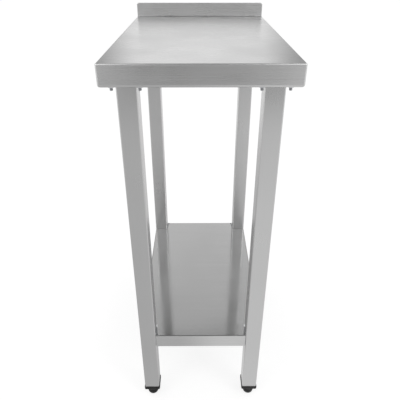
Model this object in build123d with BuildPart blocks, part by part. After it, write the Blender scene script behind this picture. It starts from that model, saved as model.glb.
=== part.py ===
"""Narrow stainless steel work table with a rear upstand, an undershelf and levelling feet.

Millimetres.  X runs left to right, Y from the front to the wall, Z up.
The origin is on the floor, under the middle of the table's outline.
"""

from build123d import *
import os

os.makedirs("parts", exist_ok=True)

# ------------------------------------------------------------------ driving dimensions
# Whole table
table_width = 350.0
table_depth = 600.0
worktop_height = 900.0          # floor to the working surface

# Worktop: one folded sheet with aprons in front and at both sides, and an upstand behind
worktop_sheet = 1.2
worktop_apron = 40.0            # height of the aprons
worktop_lip = 10.0              # hem turned inwards under the aprons
worktop_bend = 2.5              # outside radius of the top folds
worktop_hem_bend = 5.0          # outside radius of the hem folds
worktop_corner = 3.0            # outside radius of the ground vertical corners
upstand_height = 34.0
upstand_depth = 12.0            # from its front face to the wall
upstand_drop = 15.0             # how far its top return is folded down behind
upstand_corner = 5.0            # radius of its two top corners, seen from the front
upstand_edge = 1.6              # outside radius of its front and top folds
upstand_cove = 3.0              # hollow fold between the working surface and the upstand
rear_apron_lip = 9.0            # hem of the strip that closes the worktop behind

# Board and channels under the worktop
board_thickness = 15.0
board_edge_gap = 1.4            # between the board's edges and the aprons' folds
channel_sheet = 1.5
channel_height = 20.0
channel_web = 66.0
channel_flange = 12.0
channel_end_gap = 2.5
centre_channel_web = 60.0
centre_channel_gap = 2.0        # between the centre channel and the cross channels

# Legs
leg_size = 38.0
leg_wall = 1.2
leg_corner = 2.5
leg_side_inset = 25.0           # from the worktop's side to the leg's outer face
leg_front_inset = 30.0
leg_rear_inset = 60.0
leg_plate_size = 64.0
leg_plate_thickness = 3.0
leg_plate_corner = 4.0

# M6 bolts that hold the leg plates to the cross channels
plate_bolt_spacing = 50.0
plate_bolt_diameter = 6.0
plate_bolt_length = 16.0
plate_bolt_hole = 6.6
plate_bolt_chamfer = 0.8
bolt_head_flats = 10.0
bolt_head_height = 4.0
washer_diameter = 12.0
washer_thickness = 1.2
nut_height = 5.0

# Screws that hold the channels to the board
channel_screw_diameter = 4.2
channel_screw_length = 12.0
channel_screw_head = 8.0
channel_screw_head_height = 2.2
cross_screw_spacing = 98.0      # four along each flange of a cross channel
centre_screw_spacing = 130.0    # three along each flange of the centre channel

# Undershelf: one folded sheet, notched round the legs
shelf_height = 235.0            # floor to its top
shelf_sheet = 1.0
shelf_apron = 38.0
shelf_lip = 9.0
shelf_bend = 2.2
shelf_notch_gap = 0.8           # between the notch and the leg
shelf_relief = 5.0              # width of the slanted cut beside each leg, at the fold
stiffener_height = 20.0
stiffener_web = 60.0
stiffener_flange = 12.0
stiffener_end_gap = 1.5

# Brackets that carry the shelf on the legs
bracket_thickness = 2.5
bracket_width = 24.0
bracket_reach = 32.0            # under the shelf
bracket_drop = 32.0             # down the leg
shelf_bolt_diameter = 8.0
shelf_bolt_length = 16.0
shelf_bolt_hole = 8.6
shelf_bolt_head = 14.0
shelf_bolt_head_height = 4.4
shelf_bolt_drop = 18.0          # below the shelf's top
weld_nut_flats = 13.0
weld_nut_height = 6.5

# Levelling feet: a plastic insert in each leg, and a round plastic foot on a threaded stud
leg_bottom = 39.0               # floor to the end of the tube, feet screwed in
insert_overhang = 1.5           # of the insert's rim past the tube
insert_rim = 9.0
insert_rim_corner = 3.5
insert_rim_edge = 2.0
insert_plug_height = 30.0
insert_plug_wall = 2.5
insert_boss_diameter = 25.0
insert_boss_height = 20.0
foot_diameter = 28.0
foot_edge = 8.0                 # radius of the foot's lower edge
foot_top_edge = 1.2
stud_diameter = 10.0
stud_length = 72.0
stud_chamfer = 1.0
stud_embed = 20.0               # length of the stud inside the foot
foot_nut_flats = 16.0
foot_nut_height = 8.0

# Named clearances
thread_gap = 0.05               # radial, between a thread's plain stand-in and its nut
stud_bore_gap = 0.5             # radial, between the stud and the insert
plug_gap = 0.1                  # between the insert's plug and the tube
foot_gap = 0.3                  # between the foot and the insert's rim, screwed in
screw_hole_gap = 0.05           # radial, round the channel screws in the board
cut_past = 2.0                  # how far a cutting shape runs past what it cuts

# ------------------------------------------------------------------ derived sizes
half_width = table_width / 2
half_depth = table_depth / 2
apron_bottom = worktop_height - worktop_apron
sheet_underside = worktop_height - worktop_sheet
upstand_top = worktop_height + upstand_height
upstand_face = half_depth - upstand_depth
inner_half_width = half_width - worktop_sheet
inner_front = -half_depth + worktop_sheet

board_bottom = sheet_underside - board_thickness
channel_bottom = board_bottom - channel_height
plate_bottom = channel_bottom - leg_plate_thickness

leg_x = half_width - leg_side_inset - leg_size / 2
leg_front_y = -half_depth + leg_front_inset + leg_size / 2
leg_rear_y = half_depth - leg_rear_inset - leg_size / 2
leg_inner_size = leg_size - 2 * leg_wall
leg_outer_face = leg_x + leg_size / 2
leg_inner_face = leg_x - leg_size / 2

shelf_front = leg_front_y - leg_size / 2
shelf_rear = leg_rear_y + leg_size / 2
shelf_middle = (shelf_front + shelf_rear) / 2
shelf_depth = shelf_rear - shelf_front
shelf_width = 2 * leg_outer_face
shelf_bottom = shelf_height - shelf_apron
shelf_underside = shelf_height - shelf_sheet
shelf_bolt_z = shelf_height - shelf_bolt_drop

insert_bottom = leg_bottom - insert_rim
foot_top = insert_bottom - foot_gap
foot_nut_bottom = leg_bottom + insert_boss_height - foot_nut_height
stud_bottom = foot_top - stud_embed

# name, side (-1 left, 1 right), leg centre along Y, end (-1 front, 1 rear)
corners = [
    ("front_left", -1, leg_front_y, -1),
    ("front_right", 1, leg_front_y, -1),
    ("rear_left", -1, leg_rear_y, 1),
    ("rear_right", 1, leg_rear_y, 1),
]
leg_centres = [(side * leg_x, y) for _, side, y, _ in corners]
plate_bolt_centres = [
    (x + dx * plate_bolt_spacing / 2, y + dy * plate_bolt_spacing / 2)
    for x, y in leg_centres
    for dx in (-1, 1)
    for dy in (-1, 1)
]


def hexagon_radius(flats):
    """Corner radius of a hexagon, from its width across the flats."""
    return flats / 3**0.5


def write(piece, name):
    """Label a finished piece and write its STEP file."""
    piece.part.label = name
    export_step(piece.part, f"parts/{name}.step")


# ------------------------------------------------------------------ worktop
with BuildPart() as upstand_block:
    # its root stands a little way into the worktop, across the rounded side folds
    upstand_root = worktop_height - 2 * worktop_bend
    with BuildSketch(Plane.XZ.offset(-upstand_face)) as upstand_outline:
        with Locations((0, (upstand_root + upstand_top) / 2)):
            Rectangle(table_width, upstand_top - upstand_root)
        fillet(upstand_outline.vertices().group_by(Axis.Y)[-1], upstand_corner)
    extrude(amount=-upstand_depth)
    front_edges = upstand_block.faces().sort_by(Axis.Y)[0].edges()
    fillet([edge for edge in front_edges if edge.center().Z > worktop_height], upstand_edge)
    rear_edges = upstand_block.faces().sort_by(Axis.Y)[-1].edges()
    fillet([edge for edge in rear_edges if edge.center().Z > upstand_top - upstand_corner], upstand_edge)

with BuildPart() as worktop_hollow:
    hollow_rear = half_depth + cut_past
    with BuildSketch(Plane.XY.offset(apron_bottom + worktop_sheet)):
        with Locations((0, (inner_front + hollow_rear) / 2)):
            Rectangle(2 * inner_half_width, hollow_rear - inner_front)
    extrude(amount=worktop_apron - 2 * worktop_sheet)
    upright = worktop_hollow.edges().filter_by(Axis.Z).group_by(Axis.Y)[0]
    fillet(upright, worktop_corner - worktop_sheet)
    top_loop = worktop_hollow.faces().sort_by(Axis.Z)[-1].edges()
    fillet([edge for edge in top_loop if edge.center().Y < half_depth], worktop_bend - worktop_sheet)
    hem_loop = worktop_hollow.faces().sort_by(Axis.Z)[0].edges()
    fillet([edge for edge in hem_loop if edge.center().Y < half_depth], worktop_hem_bend - worktop_sheet)
    # the opening between the hems
    opening_front = -half_depth + worktop_lip
    with BuildSketch(Plane.XY.offset(apron_bottom - cut_past)):
        with Locations((0, (opening_front + hollow_rear) / 2)):
            Rectangle(table_width - 2 * worktop_lip, hollow_rear - opening_front)
    extrude(amount=cut_past + worktop_apron / 2)
    # the space behind the upstand, open to the wall below the folded-down return
    with BuildSketch(Plane.YZ.offset(-inner_half_width)):
        with BuildLine():
            Polyline(
                (upstand_face + worktop_sheet, apron_bottom + worktop_apron / 2),
                (upstand_face + worktop_sheet, upstand_top - worktop_sheet),
                (half_depth - worktop_sheet, upstand_top - worktop_sheet),
                (half_depth - worktop_sheet, upstand_top - upstand_drop),
                (hollow_rear, upstand_top - upstand_drop),
                (hollow_rear, apron_bottom + worktop_apron / 2),
                close=True,
            )
        make_face()
    extrude(amount=2 * inner_half_width)

with BuildPart() as worktop:
    with BuildSketch(Plane.XY.offset(apron_bottom)):
        Rectangle(table_width, table_depth)
    extrude(amount=worktop_apron)
    fillet(worktop.edges().filter_by(Axis.Z).group_by(Axis.Y)[0], worktop_corner)
    rounded_side = half_depth - upstand_depth       # the square rear edges lie behind this
    top_loop = worktop.faces().sort_by(Axis.Z)[-1].edges()
    fillet([edge for edge in top_loop if edge.center().Y < rounded_side], worktop_bend)
    hem_loop = worktop.faces().sort_by(Axis.Z)[0].edges()
    fillet([edge for edge in hem_loop if edge.center().Y < rounded_side], worktop_hem_bend)
    add(upstand_block.part)
    # the cove along the foot of the upstand
    with BuildSketch(Plane.YZ.offset(-half_width + worktop_bend)):
        with Locations((upstand_face - upstand_cove / 2, worktop_height + upstand_cove / 2)):
            Rectangle(upstand_cove, upstand_cove)
        with Locations((upstand_face - upstand_cove, worktop_height + upstand_cove)):
            Circle(upstand_cove, mode=Mode.SUBTRACT)
    extrude(amount=table_width - 2 * worktop_bend)
    add(worktop_hollow.part, mode=Mode.SUBTRACT)
write(worktop, "worktop")

# The strip that closes the worktop behind, spot-welded between the side aprons
with BuildPart() as rear_apron:
    rear_apron_bottom = apron_bottom + worktop_sheet
    with BuildSketch(Plane.XZ.offset(-upstand_face)) as rear_strip:
        with Locations((0, (rear_apron_bottom + sheet_underside) / 2)):
            Rectangle(2 * inner_half_width, sheet_underside - rear_apron_bottom)
        fillet(rear_strip.vertices().group_by(Axis.Y)[0], worktop_hem_bend)
        fillet(rear_strip.vertices().group_by(Axis.Y)[-1], worktop_bend)
    extrude(amount=worktop_sheet)
    with BuildSketch(Plane.XY.offset(rear_apron_bottom)):
        with Locations((0, upstand_face - rear_apron_lip / 2)):
            Rectangle(2 * (inner_half_width - worktop_hem_bend), rear_apron_lip)
    extrude(amount=worktop_sheet)
write(rear_apron, "rear_apron")

# ------------------------------------------------------------------ board and channels
board_front = inner_front + board_edge_gap
board_rear = upstand_face - worktop_sheet - board_edge_gap
cross_screw_x = [(i - 1.5) * cross_screw_spacing for i in range(4)]
cross_flange_y = (channel_web + channel_flange) / 2
centre_flange_x = (centre_channel_web + channel_flange) / 2
centre_front = leg_front_y + channel_web / 2 + channel_flange + centre_channel_gap
centre_rear = leg_rear_y - channel_web / 2 - channel_flange - centre_channel_gap
centre_middle = (centre_front + centre_rear) / 2
screw_centres = [
    (x, leg_y + side * cross_flange_y)
    for leg_y in (leg_front_y, leg_rear_y)
    for side in (-1, 1)
    for x in cross_screw_x
] + [
    (side * centre_flange_x, centre_middle + i * centre_screw_spacing)
    for side in (-1, 1)
    for i in (-1, 0, 1)
]

with BuildPart() as underlay_board:
    with BuildSketch(Plane.XY.offset(board_bottom)):
        with Locations((0, (board_front + board_rear) / 2)):
            Rectangle(2 * (inner_half_width - board_edge_gap), board_rear - board_front)
    extrude(amount=board_thickness)
    with BuildSketch(Plane.XY.offset(board_bottom)):
        with Locations(*screw_centres):
            Circle(channel_screw_diameter / 2 + screw_hole_gap)
    extrude(amount=channel_screw_length - channel_sheet + screw_hole_gap, mode=Mode.SUBTRACT)
write(underlay_board, "underlay_board")


def draw_hat(web, height, flange, sheet, top):
    """Draw a hat section in the current sketch: web below, flanges at the height `top`."""
    with Locations((0, top - height + sheet / 2)):
        Rectangle(web, sheet)
    for side in (-1, 1):
        with Locations((side * (web - sheet) / 2, top - height / 2)):
            Rectangle(sheet, height)
        with Locations((side * (web + flange) / 2, top - sheet / 2)):
            Rectangle(flange, sheet)
    with Locations((-(web - sheet) / 2, top - sheet / 2), ((web - sheet) / 2, top - sheet / 2)):
        Rectangle(sheet, sheet)


for name, leg_y in (("front_top_channel", leg_front_y), ("rear_top_channel", leg_rear_y)):
    half_length = inner_half_width - channel_end_gap
    with BuildPart() as cross_channel:
        with BuildSketch(Plane(origin=(-half_length, leg_y, 0), x_dir=(0, 1, 0), z_dir=(1, 0, 0))):
            draw_hat(channel_web, channel_height, channel_flange, channel_sheet, board_bottom)
        extrude(amount=2 * half_length)
        with BuildSketch(Plane.XY.offset(channel_bottom - cut_past)):
            with Locations(*[centre for centre in plate_bolt_centres if abs(centre[1] - leg_y) < leg_size]):
                Circle(plate_bolt_hole / 2)
        extrude(amount=cut_past + channel_height / 2, mode=Mode.SUBTRACT)
        with BuildSketch(Plane.XY.offset(board_bottom - channel_height / 2)):
            with Locations(*[centre for centre in screw_centres if abs(centre[1] - leg_y) < channel_web]):
                Circle(channel_screw_diameter / 2 + screw_hole_gap)
        extrude(amount=channel_height / 2 + cut_past, mode=Mode.SUBTRACT)
    write(cross_channel, name)

with BuildPart() as centre_top_channel:
    with BuildSketch(Plane.XZ.offset(-centre_front)):
        draw_hat(centre_channel_web, channel_height, channel_flange, channel_sheet, board_bottom)
    extrude(amount=-(centre_rear - centre_front))
    with BuildSketch(Plane.XY.offset(board_bottom - channel_height / 2)):
        with Locations(*[centre for centre in screw_centres if centre_front < centre[1] < centre_rear]):
            Circle(channel_screw_diameter / 2 + screw_hole_gap)
    extrude(amount=channel_height / 2 + cut_past, mode=Mode.SUBTRACT)
write(centre_top_channel, "centre_top_channel")

with BuildPart() as channel_screws:
    screw_seat = board_bottom - channel_sheet
    with BuildSketch(Plane.XY.offset(screw_seat)):
        with Locations(*screw_centres):
            Circle(channel_screw_diameter / 2)
    extrude(amount=channel_screw_length)
    with BuildSketch(Plane.XY.offset(screw_seat - channel_screw_head_height)):
        with Locations(*screw_centres):
            Circle(channel_screw_head / 2)
    extrude(amount=channel_screw_head_height)
    head_rims = channel_screws.edges().filter_by(GeomType.CIRCLE).group_by(Axis.Z)[0]
    fillet(head_rims, channel_screw_head_height / 2)
write(channel_screws, "channel_screws")

# ------------------------------------------------------------------ legs and their top plates
for corner, side, leg_y, end in corners:
    centre_x = side * leg_x

    with BuildPart() as leg:
        with BuildSketch(Plane(origin=(centre_x, leg_y, leg_bottom))):
            RectangleRounded(leg_size, leg_size, leg_corner)
            RectangleRounded(leg_inner_size, leg_inner_size, leg_corner - leg_wall, mode=Mode.SUBTRACT)
        extrude(amount=plate_bottom - leg_bottom)
        bolt_plane = Plane(origin=(centre_x, leg_y, shelf_bolt_z), z_dir=(-side, 0, 0))
        with BuildSketch(bolt_plane):
            Circle(shelf_bolt_hole / 2)
        extrude(amount=leg_size / 2 + cut_past, mode=Mode.SUBTRACT)
    write(leg, f"leg_{corner}")

    with BuildPart() as leg_plate:
        with BuildSketch(Plane(origin=(centre_x, leg_y, plate_bottom))):
            RectangleRounded(leg_plate_size, leg_plate_size, leg_plate_corner)
            with GridLocations(plate_bolt_spacing, plate_bolt_spacing, 2, 2):
                Circle(plate_bolt_hole / 2, mode=Mode.SUBTRACT)
        extrude(amount=leg_plate_thickness)
    write(leg_plate, f"leg_plate_{corner}")

with BuildPart() as plate_bolts:
    bolt_seat = channel_bottom + channel_sheet
    with BuildSketch(Plane.XY.offset(bolt_seat - plate_bolt_length)):
        with Locations(*plate_bolt_centres):
            Circle(plate_bolt_diameter / 2)
    extrude(amount=plate_bolt_length)
    with BuildSketch(Plane.XY.offset(bolt_seat)):
        with Locations(*plate_bolt_centres):
            RegularPolygon(hexagon_radius(bolt_head_flats), 6)
    extrude(amount=bolt_head_height)
    thread_ends = plate_bolts.edges().filter_by(GeomType.CIRCLE).group_by(Axis.Z)[0]
    chamfer(thread_ends, plate_bolt_chamfer)
write(plate_bolts, "plate_bolts")

with BuildPart() as plate_washers:
    with BuildSketch(Plane.XY.offset(plate_bottom - washer_thickness)):
        with Locations(*plate_bolt_centres):
            Circle(washer_diameter / 2)
            Circle(plate_bolt_hole / 2, mode=Mode.SUBTRACT)
    extrude(amount=washer_thickness)
write(plate_washers, "plate_washers")

with BuildPart() as plate_nuts:
    with BuildSketch(Plane.XY.offset(plate_bottom - washer_thickness - nut_height)):
        with Locations(*plate_bolt_centres):
            RegularPolygon(hexagon_radius(bolt_head_flats), 6)
            Circle(plate_bolt_diameter / 2 + thread_gap, mode=Mode.SUBTRACT)
    extrude(amount=nut_height)
write(plate_nuts, "plate_nuts")

# ------------------------------------------------------------------ undershelf
with BuildPart() as shelf_hollow:
    with BuildSketch(Plane.XY.offset(shelf_bottom + shelf_sheet)):
        with Locations((0, shelf_middle)):
            Rectangle(shelf_width - 2 * shelf_sheet, shelf_depth - 2 * shelf_sheet)
    extrude(amount=shelf_apron - 2 * shelf_sheet)
    fillet(shelf_hollow.faces().sort_by(Axis.Z)[-1].edges(), shelf_bend - shelf_sheet)
    fillet(shelf_hollow.faces().sort_by(Axis.Z)[0].edges(), shelf_bend - shelf_sheet)
    with BuildSketch(Plane.XY.offset(shelf_bottom - cut_past)):
        with Locations((0, shelf_middle)):
            Rectangle(shelf_width - 2 * shelf_lip, shelf_depth - 2 * shelf_lip)
    extrude(amount=cut_past + shelf_apron / 2)

with BuildPart() as shelf:
    with BuildSketch(Plane.XY.offset(shelf_bottom)):
        with Locations((0, shelf_middle)):
            Rectangle(shelf_width, shelf_depth)
    extrude(amount=shelf_apron)
    fillet(shelf.faces().sort_by(Axis.Z)[-1].edges(), shelf_bend)
    fillet(shelf.faces().sort_by(Axis.Z)[0].edges(), shelf_bend)
    add(shelf_hollow.part, mode=Mode.SUBTRACT)
    notch = leg_size + 2 * shelf_notch_gap
    with BuildSketch(Plane.XY.offset(shelf_bottom - cut_past)):
        with Locations(*leg_centres):
            Rectangle(notch, notch)
    extrude(amount=shelf_apron + 2 * cut_past, mode=Mode.SUBTRACT)
    # slanted relief cuts in the top, from each front and rear fold to the notch's inner corner
    with BuildSketch(Plane.XY.offset(shelf_underside - cut_past)):
        for corner, side, leg_y, end in corners:
            notch_x = side * (leg_inner_face - shelf_notch_gap)
            fold_y = leg_y + end * (leg_size / 2 - shelf_bend)
            with BuildLine():
                Polyline(
                    (notch_x + side * cut_past, fold_y),
                    (notch_x - side * shelf_relief, fold_y),
                    (notch_x, leg_y - end * leg_size / 2),
                    (notch_x + side * cut_past, leg_y - end * leg_size / 2),
                    close=True,
                )
            make_face()
    extrude(amount=2 * cut_past + shelf_sheet, mode=Mode.SUBTRACT)
write(shelf, "shelf")

with BuildPart() as shelf_stiffener:
    stiffener_front = shelf_front + shelf_sheet + stiffener_end_gap
    stiffener_rear = shelf_rear - shelf_sheet - stiffener_end_gap
    with BuildSketch(Plane.XZ.offset(-stiffener_front)):
        draw_hat(stiffener_web, stiffener_height, stiffener_flange, channel_sheet, shelf_underside)
    extrude(amount=-(stiffener_rear - stiffener_front))
write(shelf_stiffener, "shelf_stiffener")

for corner, side, leg_y, end in corners:
    with BuildPart() as shelf_bracket:
        # drawn looking along Y: a leaf down the leg and a leaf under the shelf
        leaf_x = side * (leg_inner_face - bracket_thickness / 2)
        reach_x = side * (leg_inner_face - bracket_reach / 2)
        with BuildSketch(Plane.XZ.offset(-leg_y + bracket_width / 2)):
            with Locations((leaf_x, shelf_underside - bracket_drop / 2)):
                Rectangle(bracket_thickness, bracket_drop)
            with Locations((reach_x, shelf_underside - bracket_thickness / 2)):
                Rectangle(bracket_reach, bracket_thickness)
        extrude(amount=-bracket_width)
        with BuildSketch(Plane(origin=(side * leg_x, leg_y, shelf_bolt_z), z_dir=(-side, 0, 0))):
            Circle(shelf_bolt_hole / 2)
        extrude(amount=leg_size / 2 + bracket_thickness + cut_past, mode=Mode.SUBTRACT)
    write(shelf_bracket, f"shelf_bracket_{corner}")

with BuildPart() as shelf_bolts:
    for corner, side, leg_y, end in corners:
        head_seat = leg_inner_face - bracket_thickness
        with BuildSketch(Plane(origin=(side * head_seat, leg_y, shelf_bolt_z), z_dir=(side, 0, 0))):
            Circle(shelf_bolt_diameter / 2)
        extrude(amount=shelf_bolt_length)
        with BuildSketch(Plane(origin=(side * head_seat, leg_y, shelf_bolt_z), z_dir=(-side, 0, 0))):
            Circle(shelf_bolt_head / 2)
        extrude(amount=shelf_bolt_head_height)
write(shelf_bolts, "shelf_bolts")

with BuildPart() as shelf_weld_nuts:
    for corner, side, leg_y, end in corners:
        nut_seat = leg_inner_face + leg_wall
        with BuildSketch(Plane(origin=(side * nut_seat, leg_y, shelf_bolt_z), z_dir=(side, 0, 0))):
            RegularPolygon(hexagon_radius(weld_nut_flats), 6)
            Circle(shelf_bolt_diameter / 2 + thread_gap, mode=Mode.SUBTRACT)
        extrude(amount=weld_nut_height)
write(shelf_weld_nuts, "shelf_weld_nuts")

# ------------------------------------------------------------------ levelling feet
plug_size = leg_inner_size - 2 * plug_gap
rim_size = leg_size + 2 * insert_overhang

for corner, side, leg_y, end in corners:
    centre_x = side * leg_x

    with BuildPart() as foot_insert:
        with BuildSketch(Plane(origin=(centre_x, leg_y, insert_bottom))):
            RectangleRounded(rim_size, rim_size, insert_rim_corner)
        extrude(amount=insert_rim)
        fillet(foot_insert.faces().sort_by(Axis.Z)[0].edges(), insert_rim_edge)
        with BuildSketch(Plane(origin=(centre_x, leg_y, leg_bottom))):
            RectangleRounded(plug_size, plug_size, leg_corner - leg_wall)
            Rectangle(plug_size - 2 * insert_plug_wall, plug_size - 2 * insert_plug_wall, mode=Mode.SUBTRACT)
        extrude(amount=insert_plug_height)
        with BuildSketch(Plane(origin=(centre_x, leg_y, leg_bottom))):
            Circle(insert_boss_diameter / 2)
        extrude(amount=insert_boss_height)
        with BuildSketch(Plane(origin=(centre_x, leg_y, foot_nut_bottom))):
            RegularPolygon(hexagon_radius(foot_nut_flats) + thread_gap, 6)
        extrude(amount=foot_nut_height, mode=Mode.SUBTRACT)
        with BuildSketch(Plane(origin=(centre_x, leg_y, insert_bottom - cut_past))):
            Circle(stud_diameter / 2 + stud_bore_gap)
        extrude(amount=foot_nut_bottom - insert_bottom + 2 * cut_past, mode=Mode.SUBTRACT)
    write(foot_insert, f"foot_insert_{corner}")

    with BuildPart() as foot_stud:
        with BuildSketch(Plane(origin=(centre_x, leg_y, stud_bottom))):
            Circle(stud_diameter / 2)
        extrude(amount=stud_length)
        chamfer(foot_stud.faces().sort_by(Axis.Z)[-1].edges(), stud_chamfer)
    write(foot_stud, f"foot_stud_{corner}")

    with BuildPart() as foot_base:
        with BuildSketch(Plane(origin=(centre_x, leg_y, 0))):
            Circle(foot_diameter / 2)
        extrude(amount=foot_top)
        fillet(foot_base.faces().sort_by(Axis.Z)[0].edges(), foot_edge)
        fillet(foot_base.faces().sort_by(Axis.Z)[-1].edges(), foot_top_edge)
        with BuildSketch(Plane(origin=(centre_x, leg_y, stud_bottom))):
            Circle(stud_diameter / 2 + thread_gap)
        extrude(amount=stud_embed + cut_past, mode=Mode.SUBTRACT)
    write(foot_base, f"foot_base_{corner}")

with BuildPart() as foot_nuts:
    with BuildSketch(Plane.XY.offset(foot_nut_bottom)):
        with Locations(*leg_centres):
            RegularPolygon(hexagon_radius(foot_nut_flats), 6)
            Circle(stud_diameter / 2 + thread_gap, mode=Mode.SUBTRACT)
    extrude(amount=foot_nut_height)
write(foot_nuts, "foot_nuts")
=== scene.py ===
"""Finishes, fasteners, feet, welds and studio of a narrow stainless steel work table.

Metres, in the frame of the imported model: X runs left to right, Y from the front to the
wall, Z up, and the origin is on the floor under the middle of the table.
"""

import logging
import math
from dataclasses import dataclass, field
from enum import Enum

import bpy
import numpy as np
from mathutils import Matrix, Vector


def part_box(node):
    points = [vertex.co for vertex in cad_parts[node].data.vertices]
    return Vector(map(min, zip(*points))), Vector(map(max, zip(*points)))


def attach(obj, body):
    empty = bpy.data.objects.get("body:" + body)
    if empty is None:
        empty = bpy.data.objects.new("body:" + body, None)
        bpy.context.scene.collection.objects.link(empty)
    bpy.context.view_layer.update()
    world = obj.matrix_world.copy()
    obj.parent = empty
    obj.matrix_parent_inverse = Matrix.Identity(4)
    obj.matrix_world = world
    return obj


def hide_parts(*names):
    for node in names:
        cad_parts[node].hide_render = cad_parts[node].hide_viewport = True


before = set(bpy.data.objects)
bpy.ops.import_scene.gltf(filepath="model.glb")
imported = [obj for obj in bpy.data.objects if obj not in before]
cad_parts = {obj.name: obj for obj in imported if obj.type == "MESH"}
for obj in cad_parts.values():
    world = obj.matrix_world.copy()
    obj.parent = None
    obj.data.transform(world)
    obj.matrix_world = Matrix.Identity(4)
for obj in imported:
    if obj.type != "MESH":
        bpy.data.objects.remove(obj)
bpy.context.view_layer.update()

logging.basicConfig(level=logging.INFO, format="%(name)s: %(message)s")
log = logging.getLogger("work_table")

MM = 0.001
FULL_TURN = 2 * math.pi
SHARP_ANGLE = math.radians(32)  # an edge that turns by more is shaded as sharp
THREAD_DEPTH = 0.6  # depth of a thread, as a share of its pitch
WHITE = (1.0, 1.0, 1.0)

Material = bpy.types.Material
Socket = bpy.types.NodeSocket
Number = Socket | float
Value = Number | tuple[float, ...]
Pair = tuple[float, float]
Triple = tuple[float, float, float]
Colour = tuple[float, float, float, float]


class Corner(Enum):
    """The four corners of the table, by the ending of their node names."""

    FRONT_LEFT = "front_left"
    FRONT_RIGHT = "front_right"
    REAR_LEFT = "rear_left"
    REAR_RIGHT = "rear_right"


class Grain(Enum):
    """How the brushing runs over a steel part."""

    ACROSS = "left to right, and on down over the side folds"
    UPRIGHT = "up and down"


class Recess(Enum):
    """The shape sunk into a screw's head."""

    HEXAGON = "hexagon"
    CROSS = "cross"


# ------------ surfaces
@dataclass
class Surface:
    """Points and faces of a mesh being worked out.

    Attributes:
        points: Array of shape (count, 3), in metres.
        faces: Array of shape (count, 4). A triangle repeats one of its corners.
    """

    points: np.ndarray
    faces: np.ndarray

    @classmethod
    def grid(cls, points: np.ndarray, close_u: bool = False, close_v: bool = False) -> "Surface":
        """Lay quads between the neighbours of a grid of points.

        A face's outside is the side that the step along u crossed with the step along v
        points to.

        Args:
            points: Array of shape (u, v, 3).
            close_u: Join the last row to the first.
            close_v: Join the last column to the first.

        Returns:
            The surface, with coincident points not yet merged.
        """
        rows, columns = points.shape[:2]
        index = np.arange(rows * columns).reshape(rows, columns)
        if close_u:
            index = np.vstack([index, index[:1]])
        if close_v:
            index = np.hstack([index, index[:, :1]])
        corners = [index[:-1, :-1], index[1:, :-1], index[1:, 1:], index[:-1, 1:]]
        return cls(points.reshape(-1, 3), np.stack(corners, axis=-1).reshape(-1, 4))

    @classmethod
    def joined(cls, surfaces: list["Surface"]) -> "Surface":
        """Put several surfaces into one, each with its own points.

        Args:
            surfaces: The surfaces to join.

        Returns:
            One surface.
        """
        starts = np.cumsum([0] + [len(part.points) for part in surfaces[:-1]])
        points = np.concatenate([part.points for part in surfaces])
        faces = np.concatenate([part.faces + start for part, start in zip(surfaces, starts)])
        return cls(points, faces)

    def placed(self, matrix: Matrix) -> "Surface":
        """Carry the surface to another place.

        Args:
            matrix: A turn and a move, without mirroring.

        Returns:
            A moved copy.
        """
        turn = np.array(matrix.to_3x3())
        return Surface(self.points @ turn.T + np.array(matrix.translation), self.faces)

    def merged(self, reach: float = 1e-7) -> "Surface":
        """Merge coincident points and drop the faces that vanish with them.

        Args:
            reach: Points that round to the same multiple of this are one.

        Returns:
            The merged surface.
        """
        keys = np.round(self.points / reach).astype(np.int64)
        _, first, place = np.unique(keys, axis=0, return_index=True, return_inverse=True)
        faces = place.reshape(-1)[self.faces]
        doubled = (faces == np.roll(faces, -1, axis=1)).sum(axis=1)
        crossed = (faces[:, 0] == faces[:, 2]) | (faces[:, 1] == faces[:, 3])
        return Surface(self.points[first], faces[(doubled < 2) & ~crossed])

    def as_object(self, name: str, finish: Material) -> bpy.types.Object:
        """Make a Blender object of the surface.

        Args:
            name: The object's name.
            finish: Its material.

        Returns:
            The object, smoothly shaded up to its sharp edges.
        """
        mesh = bpy.data.meshes.new(name)
        corners = [tuple(dict.fromkeys(face)) for face in self.faces.tolist()]
        mesh.from_pydata(self.points.tolist(), [], corners)
        mesh.update()
        mesh.polygons.foreach_set("use_smooth", np.ones(len(mesh.polygons), bool))
        mesh.set_sharp_from_angle(angle=SHARP_ANGLE)
        mesh.materials.append(finish)
        thing = bpy.data.objects.new(name, mesh)
        bpy.context.scene.collection.objects.link(thing)
        return thing

    def piece(self, name: str, finish: Material, slot: str, body: str) -> bpy.types.Object:
        """Make a piece of the table, with its points merged, and let it ride on a body.

        Args:
            name: The piece's name.
            finish: Its material.
            slot: Name of a material slot of the record; not used.
            body: The body that it moves with.

        Returns:
            The piece's object.
        """
        thing = self.merged().as_object(name, finish)
        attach(thing, body)
        log.info("%s: %d faces on %s", name, len(thing.data.polygons), body)
        return thing


def round_angles(steps: int) -> np.ndarray:
    """Give the even steps of a full turn as a column."""
    return np.linspace(0, FULL_TURN, steps, endpoint=False)[:, None]


def turned(radius: np.ndarray, height: np.ndarray, steps: int = 32, closed: bool = False) -> Surface:
    """Turn a profile about the Z axis.

    A point is (r cos a, r sin a, z), with the profile's r and z and the angle a. The profile
    runs upwards along its outside, so that the faces point outwards.

    Args:
        radius: Distance of each profile point from the axis, or one row of them per angle.
        height: Height of each profile point, or one row of them per angle.
        steps: Number of angles.
        closed: Join the profile's end to its start, as round a ring.

    Returns:
        The turned surface.
    """
    angle = round_angles(steps)
    radius = np.broadcast_to(radius, (steps, np.shape(height)[-1]))
    levels = np.broadcast_to(height, radius.shape)
    points = np.stack([radius * np.cos(angle), radius * np.sin(angle), levels], axis=-1)
    return Surface.grid(points, close_u=True, close_v=closed)


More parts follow.
